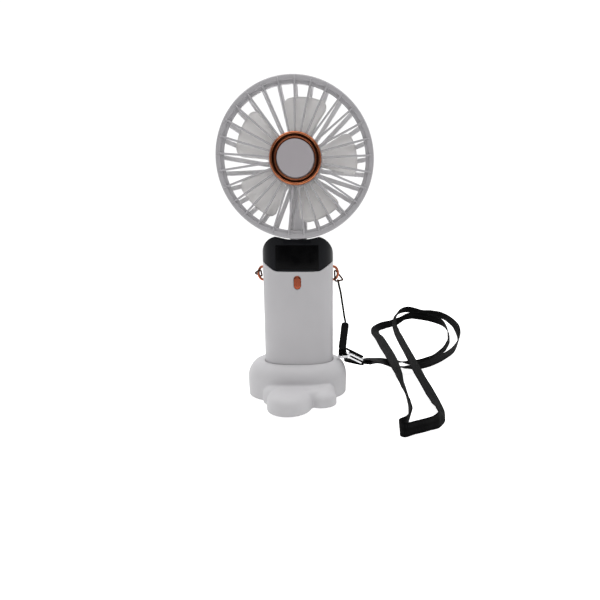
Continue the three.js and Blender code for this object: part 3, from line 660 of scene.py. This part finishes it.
def tab_piece():
    """Folded webbing that joins the sleeve to the crimp: two layers with a bulged fold."""
    stations = [(0, 1.5, 5.0), (0.1, 1.7, 5.3), (0.5, 1.75, 5.7), (0.85, 1.9, 5.9), (0.95, 1.7, 5.7),
                (1, 1.2, 5.0)]
    layers = [along((29.8, y, 30.3), (30.2, y, 25.8), stations) for y in (-2.0, 0.0)]
    obj = make("lanyard_tab_fold", merged(*layers))
    lay_flat_weave(obj, "z", "x")
    return dress(obj, "webbing", "handle", "lanyard_tab")


def crimp_axes():
    """Start, direction, length and upward normal of the crimp."""
    start, run = Vector(CRIMP_START), Vector(CRIMP_END) - Vector(CRIMP_START)
    way = run.normalized()
    up = Vector((0, 1, 0)).cross(way).normalized()
    return start, way, run.length, up if up.z > 0 else -up


def crimp_piece():
    """Folded metal clip: two plates closed round the webbing, with pressed beads and a ring end."""
    a, way, long, up = crimp_axes()
    profile = ([(long, 1.6), (2.0, 1.6)] + arc(1.6, 0, 1.6, 90, 270, 10)[1:-1] + [(2.0, -1.6), (long, -1.6)]
               + [(long, -0.5), (2.0, -0.5)] + arc(1.6, 0.1, 0.6, 270, 90, 10)[1:-1]
               + [(2.0, 0.75), (long, 0.75)])
    rings = []
    edge = CRIMP_HALF_W - 0.15
    for y, inset in ((-CRIMP_HALF_W, 0.15), (-edge, 0.0), (edge, 0.0), (CRIMP_HALF_W, 0.15)):
        ring = []
        for t, h in profile:
            spot = a + way * t + up * (h * (1 - inset * 0.2))
            ring.append((spot.x, y, spot.z))
        rings.append(ring)
    clip = loft(rings)
    beads = []
    for t in (4.2, 7.0, 9.8):
        for side in (-1, 1):
            spot = a + way * t + up * (side * 1.45)
            ends = [spot + Vector((0, y, 0)) for y in (-3.2, -3.0, -1.5, 0, 1.5, 3.0, 3.2)]
            beads.append(tube(ends, 0.35, 8, radii=[0.12, 0.3, 0.35, 0.35, 0.35, 0.3, 0.12]))
    wire = spline([(33.9, -3.4, 25.6), (30.6, -3.9, 25.2), (28.0, -3.4, 25.4), (27.3, -1.0, 25.6),
                   (28.0, 1.4, 25.4), (30.6, 1.9, 25.2), (33.9, 1.6, 25.6)], 6)
    obj = make("lanyard_crimp_clip", merged(clip, *beads, tube(wire, CRIMP_RING_R, 10)))
    return dress(obj, "crimp_metal", "handle", "lanyard_crimp")


def crimp_filling():
    """The webbing's ends: one layer pressed inside the clip, one folded over it and one under it."""
    a, way, long, up = crimp_axes()
    b = a + way * long
    stations = [(0.24, 8.0, 1.0), (0.5, 8.4, 1.0), (0.98, 8.6, 1.0), (1.06, 8.8, 1.5), (1.16, 9.0, 1.8)]
    inside = along(a + up * 0.12, b + up * 0.12, stations, power=6)
    stations = [(-0.22, 2.6, 0.8), (-0.16, 3.2, 1.1), (0.5, 3.4, 1.1), (0.94, 3.4, 1.1), (1.04, 3.0, 0.8)]
    lift = up * 2.2 + Vector((0, 2.5, 0))
    above = along(a + lift, b + lift, stations, 16, power=5)
    stations = [(0, 7.6, 0.8), (0.06, 8.6, 1.5), (0.5, 9.0, 1.5), (0.9, 9.0, 1.3), (1, 8.4, 0.8)]
    below = along((31.2, 1.6, 22.1), (44.8, 1.6, 18.9), stations, 16, power=5)
    obj = make("wrist_strap_ends", merged(inside, above, below))
    lay_flat_weave(obj, "x", "y")
    return dress(obj, "webbing", "handle")


def add_lanyard():
    strap_piece()
    crimp_filling()
    string, centre = string_piece()
    hung = [sleeve_piece(), tab_piece(), crimp_piece()]


# ---- head ----
def bar_angle(i):
    return math.pi / 2 + TAU * i / BAR_COUNT


def front_grille():
    face = FRONT_Y
    rim = fillet([
        (42.9, face + 0.9), (44.7, face + 0.9), (44.9, face), (HEAD_R - 0.05, face), (HEAD_R, SEAM_Y - 0.15),
        (46.2, SEAM_Y - 0.15), (46.0, face + 2.6), (42.9, face + 2.1),
    ], [0.35, 0.2, 0.4, 1.3, 0.25, 0.2, 0.5, 0.35], 5)
    hub = fillet([(0.01, -17.6), (16.3, -17.6), (16.3, -15.4), (0.01, -15.4)], [0, 0.5, 0.5, 0], 4)
    thin = fillet([(-0.5, -19.0), (0.5, -19.0), (0.55, -16.9), (-0.55, -16.9)], 0.28, 3)
    root = [(t, max(y, -18.4)) for t, y in thin]
    tip = [(t * 0.7, -18.0 + (y + 18.0) * 0.6) for t, y in thin]
    stations = [(15.8, root), (17.2, thin), (31, thin), (45.6, thin),
                (46.2, [(t * 0.9, y + 0.12) for t, y in thin]), (46.5, tip)]
    bars = [spoke(stations, bar_angle(i)) for i in range(BAR_COUNT)]
    obj = make("front_grille_ribs", merged(lathe(rim, 192), lathe(hub, 96), *bars))
    # the grille wears the darker copy of the shell plastic: painted shade
    return dress(obj, "shell_plastic", "head", "front_grille", look="grille_painted_shade_plastic", smooth=50)


def hub_trim():
    ring = fillet([
        (11.6, -17.95), (15.7, -17.95), (15.75, -19.2), (15.1, -20.0), (14.35, -19.95), (13.9, -18.7),
        (12.95, -18.7), (12.75, -19.7), (12.15, -19.7), (11.75, -18.5),
    ], [0.05, 0.1, 0.5, 0.25, 0.2, 0.25, 0.2, 0.15, 0.15, 0.1], 4)
    obj = make("hub_trim_bezel", lathe(ring, 128))
    dress(obj, "copper_trim", "head", "hub_trim_ring")
    groove_floor(obj)


def groove_floor(obj):
    """The recessed band between the two bright rings is coloured a near-black copper: painted shade in the
    groove.
    """
    obj.data.materials.append(metal("groove_painted_shade_copper", (0.055, 0.017, 0.01), 0.34))
    for face in obj.data.polygons:
        spot = face.center
        radius = math.hypot(spot.x, spot.z - HEAD_Z * MM) / MM
        if 12.8 < radius < 14.15 and spot.y > -19.6 * MM and face.normal.y < 0.5:
            face.material_index = 1


def hub_badge():
    disc = [(0, -17.95), (11.2, -17.95), (11.24, -19.6), (11.05, -19.95), (10.75, -20.05),
            (6, -20.06), (0, -20.06)]
    obj = make("hub_badge_plate", lathe(disc, 112, closed=False))
    return dress(obj, "badge_satin", "head", "hub_badge_disc")


def rear_grille():
    wall = fillet([
        (46.2, SEAM_Y + 0.15), (HEAD_R, SEAM_Y + 0.15), (HEAD_R, BOWL_RIM_Y), (45.9, BOWL_RIM_Y),
    ], [0.2, 0.3, 0.9, 0.5], 5)
    path = spline([(46.4, 0, -7.2), (45.6, 0, -5.3), (40.1, 0, -0.8), (32.0, 0, 4.2), (24.0, 0, 9.0),
                   (18.0, 0, 12.0), (14.4, 0, 12.2)], 4)
    ways = tangents(path)
    corner = fillet([(-1.4, -0.9), (1.4, -0.9), (1.4, 0.9), (-1.4, 0.9)], 0.45, 3)
    slats = []
    for i in range(BAR_COUNT):
        a = bar_angle(i)
        c, s = math.cos(a), math.sin(a)
        rings = []
        for at, way in zip(path, ways):
            out = Vector((-way.z, 0, way.x))
            ring = []
            for t, h in corner:
                spot = at + out * h
                ring.append((spot.x * c - t * s, spot.z, HEAD_Z + spot.x * s + t * c))
            rings.append(ring)
        slats.append(loft(rings))
    hub = fillet([(4.7, 11.4), (15.5, 11.4), (15.5, 15.4), (14.2, 15.4), (14.2, 13.0), (4.7, 13.0)],
                 [0, 0.5, 0.4, 0.3, 0.2, 0], 4)
    obj = make("rear_grille_bowl",
               merged(lathe(wall, 192), lathe(hub, 112), *slats, strut(), *posts(), *neck()))
    # the rear grille wears the lighter copy of the shell plastic: painted backlight
    return dress(obj, "shell_plastic", "head", "rear_grille", look="rear_painted_light_plastic", smooth=50)


def strut():
    """Cable duct from the hub down to the neck, slightly wider at its foot."""
    rings = []
    for drop, half in ((13.5, 5.7), (20, 5.8), (34, 6.0), (42, 6.1), (46, 6.2)):
        outline = fillet([(-half, 9.4), (half, 9.4), (half, BOWL_BACK_Y), (-half, BOWL_BACK_Y)], 0.9, 4)
        rings.append([(x, y, HEAD_Z - drop) for x, y in outline])
    return loft(rings)


def posts():
    """Pair of stops on the ring, one on each side of the strut's foot."""
    outline = fillet([(8, 107.5), (11.6, 107.5), (11.6, 110.8), (8, 110.8)], [0, 0, 0.7, 0.7], 3)
    return [prism([(x * side, z) for x, z in outline], BOWL_RIM_Y - 2.5, -3, "y") for side in (-1, 1)]


def neck():
    """Foot of the strut: gusset, neck and the barrel on the hinge pin."""
    foot = prism(fillet([(BOWL_RIM_Y - 2.5, 106.2), (BOWL_RIM_Y - 2.5, 109.2), (4, 109.8), (4, 106.2)],
                        [0.4, 1.0, 0.8, 0.6], 4), -7, 7, "x")
    gusset = prism(fillet([(1, 106.1), (1, 109.6), (2.4, 110.4), (14.6, 112.4), (14.6, 106.1)],
                          [0.6, 0.6, 0.8, 1.2, 0.8], 4), -NECK_W, NECK_W, "x")
    stem = prism(fillet([(HINGE_Y - 3.9, HINGE_Z + 2.6), (HINGE_Y + 3.6, HINGE_Z + 2.6),
                         (HINGE_Y + 3.6, HINGE_Z + 9), (HINGE_Y - 3.9, HINGE_Z + 9)], 0.5, 3),
                 -NECK_W, NECK_W, "x")
    outer, bore = circle(4.0, 40, HINGE_Y, HINGE_Z), circle(1.75, 40, HINGE_Y, HINGE_Z)
    rings = [[(x, y, z) for y, z in outline] for x, outline in (
        (-NECK_W, bore), (-NECK_W, outer), (NECK_W, outer), (NECK_W, bore))]
    return foot, gusset, stem, loft(rings, closed=True)


def rear_hub_cover():
    dome = [(0, 14.6), (12.6, 14.6), (12.6, 13.4), (13.85, 13.4), (13.85, 15.2), (13.6, 15.6), (12.9, 15.95),
            (11.5, 16.1), (9.9, 16.1), (9.7, 15.85), (9.3, 15.85), (9.1, 16.1), (0, 16.15)]
    obj = make("rear_hub_lid", lathe(dome, 112, closed=False))
    return dress(obj, "shell_plastic", "head", "rear_hub_cover")


def blade_shape(centre):
    """Twisted blade with a rounded edge all round and a slight camber."""
    columns, rows, root, corner = 26, 10, 12.7, 5.0
    layers = {-1: [], 1: []}
    for side in layers:
        for i in range(columns + 1):
            u = smoothstep(i / columns)
            swing = (u - 0.5) * BLADE_ARC
            edge = min(u, 1 - u) * BLADE_ARC * BLADE_TIP_R
            inset = max(0.0, corner - edge)
            tip = BLADE_TIP_R - (corner - math.sqrt(corner * corner - inset * inset))
            for j in range(rows + 1):
                t = 1 - (1 - j / rows) ** 1.5
                r = root + (tip - root) * t
                near = min(edge * r / BLADE_TIP_R, tip - r)
                thick = 0.7 * math.sqrt(max(0.0, min(1.0, near / 0.9)))
                camber = 0.9 * math.sin(math.pi * u) * t
                y = BLADE_MID_Y + BLADE_LEAD * swing - camber + side * max(thick, 0.03)
                a = centre + swing
                layers[side].append((r * math.cos(a), y, HEAD_Z + r * math.sin(a)))
    n = rows + 1
    verts = layers[-1] + layers[1]
    back = len(layers[-1])
    faces = []
    for i in range(columns):
        for j in range(rows):
            a, b, c, d = i * n + j, (i + 1) * n + j, (i + 1) * n + j + 1, i * n + j + 1
            faces += [(a, b, c, d), (back + d, back + c, back + b, back + a)]
    rim = [i * n for i in range(columns + 1)] + [columns * n + j for j in range(1, n)]
    rim += [i * n + rows for i in range(columns - 1, -1, -1)] + [j for j in range(rows - 1, 0, -1)]
    faces += [(p, q, back + q, back + p) for p, q in zip(rim, rim[1:] + rim[:1])]
    return verts, faces


def impeller():
    cup = [(0, -13.2), (11.6, -13.2), (12.6, -13.0), (13.2, -12.5), (13.4, -11.8), (13.4, -0.6), (12, -0.6),
           (12, -11.7), (0, -11.7)]
    blades = [blade_shape(BLADE_PHASE + TAU * i / BLADE_COUNT) for i in range(BLADE_COUNT)]
    obj = make("impeller_blades", merged(lathe(cup, 96, closed=False), *blades))
    # the blades wear a paler white than the shell: painted backlight
    return dress(obj, "blade_plastic", "rotor", "impeller", smooth=45)


# ---- handle ----
def chin(x):
    """Height of the line where the white sleeve meets the black cap."""
    slope = (SHOULDER_Z - CHIN_Z) / (HANDLE_W - CHIN_W)
    rise = (abs(x) - CHIN_W) * slope
    blur = 0.9
    return CHIN_Z + (rise + math.sqrt(rise * rise + blur * blur)) / 2


def handle_sleeve():
    outer, inner = section(0), section(HANDLE_WALL)
    low = [(x * 0.985, y * 0.98, HANDLE_LOW_Z) for x, y in outer]
    levels = [low, [(x, y, HANDLE_LOW_Z + 0.6) for x, y in outer]]
    for part in (0.33, 0.66):
        levels.append([(x, y, HANDLE_LOW_Z + (chin(x) - HANDLE_LOW_Z) * part) for x, y in outer])
    levels.append([(x, y, chin(x) - 0.25) for x, y in outer])
    levels.append([(x * 0.993, y * 0.99, chin(x) - 0.02) for x, y in outer])
    levels.append([(x, y, chin(x) - 0.02) for x, y in inner])
    levels.append([(x, y, HANDLE_LOW_Z) for x, y in inner])
    obj = make("handle_sleeve_shell", loft(levels, closed=True))
    holes = [prism(stadium(BUTTON_W + 0.2, BUTTON_H + 0.2, BUTTON_Z), -20, -10, "y")]
    holes.append(prism([(x, z + USB_Z) for z, x in stadium(USB_H, USB_W, 0)], 10, 20, "y"))
    for side in (-1, 1):
        for end in (-1, 1):
            leg = circle(LOOP_WIRE_R + 0.25, 24, 0, LOOP_Z + end * LOOP_RISE)
            holes.append(prism(leg, *sorted((20 * side, 26 * side)), "x"))
    carve(obj, holes)
    return dress(obj, "shell_plastic", "handle", "handle_sleeve", smooth=30)


def cap_outline():
    w, r, top = HANDLE_W, CAP_CORNER_R, CAP_TOP_Z
    return ([(-w, 60), (w, 60)] + arc(w - r, top - r, r, 0, 90, 24) + arc(r - w, top - r, r, 90, 180, 24))


def cap_side():
    d, r, top = HANDLE_D, CAP_ROLL_R, CAP_TOP_Z
    return ([(-d, 60), (d, 60)] + arc(d - r, top - r, r, 0, 90, 14) + arc(r - d, top - r, r, 90, 180, 14))


def below_chin():
    steps = [-27 + i / 2 for i in range(109)]
    return [(-27, 50), *[(x, chin(x) + GAP) for x in steps], (27, 50)]


def window_block(play):
    return block(-WINDOW_W - play, WINDOW_W + play, -20, -13.8 + play,
                 WINDOW_LOW_Z - play, WINDOW_HIGH_Z + play)


def display_cap():
    obj = make("display_cap_shell", prism(section(0), 70, 115, "z"))
    carve(obj, [prism(cap_outline(), -30, 30, "y"), prism(cap_side(), -40, 40, "x")], "INTERSECT")
    saddle = [(x, HEAD_Z + z) for x, z in circle(SADDLE_R, 256)]
    carve(obj, [
        prism(below_chin(), -30, 30, "y"), prism(saddle, -30, 30, "y"), prism(section(2), 80, 95.6, "z"),
        block(-NOTCH_W, NOTCH_W, 5.9, 25, 96.6, 120),
        prism(circle(1.62, 32, HINGE_Y, HINGE_Z), -13.4, 13.4, "x"),
    ])
    soften(obj, 0.35)
    carve(obj, [window_block(0.12)])
    return dress(obj, "cap_plastic", "handle", "display_cap", smooth=35)


def display_window():
    obj = make("display_window_lens", window_block(0))
    carve(obj, [prism(section(0.12), 80, 110, "z")], "INTERSECT")
    soften(obj, 0.22)
    return dress(obj, "window_gloss", "handle", "display_window", smooth=35)


def power_button():
    rings = []
    for inset, y in ((-0.85, -13.15), (-0.85, -14.15), (0, -14.2), (0, -16.35), (0.12, -16.7), (0.4, -16.88),
                     (0.75, -16.9), (1.9, -16.9)):
        rings.append([(x, y, z) for x, z in stadium(BUTTON_W - inset, BUTTON_H - inset, BUTTON_Z)])
    obj = make("power_button_key", loft(rings))
    return dress(obj, "copper_trim", "button", "power_button", look="button_copper", smooth=50)


def lanyard_loop(side, name):
    wall = HANDLE_W * side
    points = [(20.6 * side, 0, LOOP_Z + LOOP_RISE), (22.4 * side, 0, LOOP_Z + LOOP_RISE)]
    for x, z in arc(0, 0, 1, 90, -90, 8):
        points.append((wall + side * LOOP_REACH * x, 0, LOOP_Z + LOOP_RISE * z))
    points += [(22.4 * side, 0, LOOP_Z - LOOP_RISE), (20.6 * side, 0, LOOP_Z - LOOP_RISE)]
    obj = make("lanyard_loop_" + name + "_wire", tube(spline(points, 6), LOOP_WIRE_R, 20))
    return dress(obj, "copper_trim", "handle", "lanyard_loop_" + name, look="loop_copper", smooth=60)


def wire_link(corners, name, body):
    """Straight sides, each corner bent round an arc that is wider than the wire is thick."""
    places = [Vector(c) for c in corners]
    normal = (places[1] - places[0]).cross(places[2] - places[0]).normalized()
    line = []
    for i, corner in enumerate(places):
        to_last = (places[i - 1] - corner).normalized()
        to_next = (places[(i + 1) % 3] - corner).normalized()
        half = to_last.angle(to_next) / 2
        middle = (to_last + to_next).normalized()
        centre = corner + middle * (LINK_BEND_R / math.sin(half))
        for k in range(15):
            turn = Matrix.Rotation((math.pi - 2 * half) * (k / 14 - 0.5), 3, normal)
            line.append(centre + LINK_BEND_R * (turn @ -middle))
    obj = make("wire_link_" + name + "_triangle", tube(line, LINK_WIRE_R, 14, closed=True))
    return dress(obj, "dark_copper_wire", body, "wire_link_" + name, smooth=60)


# ---- stand ----
TIER = [(-4, 0), (0.9, 0), (6, 0.2), (13, 0.4), (16, 0.0), (18.4, -0.9), (20.4, -2.1), (22.0, -3.5),
        (23.2, -5.0), (23.8, -6.4)]
TIER_AT = (-1.3, 1.2)
TIER_W = 33.7
TIER_D = 25.4
TIER_POWER = 2.3
LOBES = [
    (-5.0, -31.0, 14.4, 17.6, 12.0, 8.0),
    (15.2, -25.6, 9.8, 9.8, 10.0, 6.5),
    (0.5, -20.0, 23.5, 14.5, 11.8, 5.5),
]
LOBE_POWER = 2.05
STAND_LOW_Z = 0.9
SOCKET_FLOOR_Z = 8.0
WELL_TOP_Z = 3.5


def tier_ring(grow, z):
    outline = superellipse(TIER_W + grow, TIER_D + grow, TIER_POWER, 96)
    return [(x + TIER_AT[0], y + TIER_AT[1], z) for x, y in outline]


def tier_shape():
    return loft([tier_ring(grow, z) for z, grow in TIER])


def lobe_shape(lobe):
    x, y, rx, ry, height, roll = lobe
    shoulder = height - roll
    levels = [(-4, 0.0), (shoulder, 0.0)]
    for a in (0.25, 0.5, 0.75, 1.0, 1.25, 1.45):
        levels.append((shoulder + roll * math.sin(a), roll * (1 - math.cos(a))))
    return loft([[(x + u, y + v, z) for u, v in superellipse(rx - pull, ry - pull, LOBE_POWER, 64)]
                 for z, pull in levels])


def stand_shell():
    """One flowing skin over the tier and its puffs, then the socket and the well for the bottom plate."""
    obj = make("stand_cloud_shell", tier_shape())
    carve(obj, [lobe_shape(lobe) for lobe in LOBES], "UNION")
    remesh = obj.modifiers.new("skin", "REMESH")
    remesh.mode = "VOXEL"
    remesh.voxel_size = 0.55 * MM
    relax = obj.modifiers.new("relax", "SMOOTH")
    relax.factor = 0.5
    relax.iterations = 22
    apply_modifiers(obj)
    wells = [loft([tier_ring(-2.0, -9), tier_ring(-2.0, WELL_TOP_Z)])]
    for x, y, rx, ry, _, _ in LOBES:
        outline = [(x + u, y + v) for u, v in superellipse(rx - 2.3, ry - 2.3, LOBE_POWER, 48)]
        wells.append(prism(outline, -9, WELL_TOP_Z, "z"))
    socket = prism(section(-0.35), SOCKET_FLOOR_Z, 60, "z")
    carve(obj, [socket, block(-80, 80, -80, 80, -20, STAND_LOW_Z), *wells])
    return dress(obj, "stand_plastic", "stand", "stand_shell", smooth=38)


def dress_cad_nodes():
    """Every CAD node that still shows gets the look of its slot."""
    slots = {row["node"]: row["material_slot"] for row in frame["record"]["subparts"]}
    for node, obj in frame["nodes"].items():
        if not obj.material_slots:
            obj.data.materials.append(None)
        obj.material_slots[0].link = "OBJECT"
        obj.material_slots[0].material = LOOKS[slots[node]]


# ---- stage ----
def add_stage():
    floor = make("floor", block(-1500, 1500, -1500, 1500, -12, 0))
    paper = Look("paper_floor", Roughness=0.9, Specular_IOR_Level=0.1)
    paper.feed("Base Color", paper.blend(paper.noise(9), (0.90, 0.90, 0.90), (0.92, 0.92, 0.92)))
    paper.shader.inputs["Emission Color"].default_value = (1, 1, 1, 1)
    seen = paper.node("LightPath").outputs["Is Camera Ray"]
    glow = paper.node("MapRange", {"Value": seen, "To Min": 0.20, "To Max": 0.84})
    paper.feed("Emission Strength", glow.outputs[0])
    floor.data.materials.append(paper.material)


def add_light(name, at, towards, size, power):
    data = bpy.data.lights.new(name, "AREA")
    data.shape = "RECTANGLE"
    data.size, data.size_y = (s * MM for s in size)
    data.energy = power
    lamp = bpy.data.objects.new(name, data)
    scene.collection.objects.link(lamp)
    aim = Vector(towards) - Vector(at)
    turn = aim.to_track_quat("-Z", "Y").to_matrix().to_4x4()
    lamp.matrix_world = Matrix.Translation(Vector(at) * MM) @ turn


def add_world():
    """White paper sweep behind and beside the object, dimmer towards the front."""
    world = bpy.data.worlds.new("sweep")
    scene.world = world
    world.use_nodes = True
    nodes, links = world.node_tree.nodes, world.node_tree.links
    nodes["Background"].inputs["Color"].default_value = (1, 1, 1, 1)
    coords = nodes.new("ShaderNodeTexCoord")
    split = nodes.new("ShaderNodeSeparateXYZ")
    links.new(coords.outputs["Generated"], split.inputs[0])
    turn = nodes.new("ShaderNodeMapRange")
    for key, value in (("From Min", -0.9), ("From Max", 0.5), ("To Min", 0.07), ("To Max", 1.0)):
        turn.inputs[key].default_value = value
    links.new(split.outputs["Y"], turn.inputs["Value"])
    seen = nodes.new("ShaderNodeLightPath")
    pick = nodes.new("ShaderNodeMix")
    pick.inputs["B"].default_value = 1.05
    links.new(seen.outputs["Is Camera Ray"], pick.inputs["Factor"])
    links.new(turn.outputs[0], pick.inputs["A"])
    links.new(pick.outputs["Result"], nodes["Background"].inputs["Strength"])


add_camera()
add_lanyard()
front_grille()
hub_trim()
hub_badge()
rear_grille()
rear_hub_cover()
impeller()
handle_sleeve()
display_cap()
display_window()
power_button()
lanyard_loop(-1, "left")
lanyard_loop(1, "right")
wire_link(LEFT_LINK, "left", "left_link")
wire_link(RIGHT_LINK, "right", "handle")
stand_shell()
dress_cad_nodes()
add_stage()
add_world()
add_light("overhead", (0, -40, 620), (0, 0, 60), (700, 700), 3.2)
scene.view_settings.view_transform = "Standard"
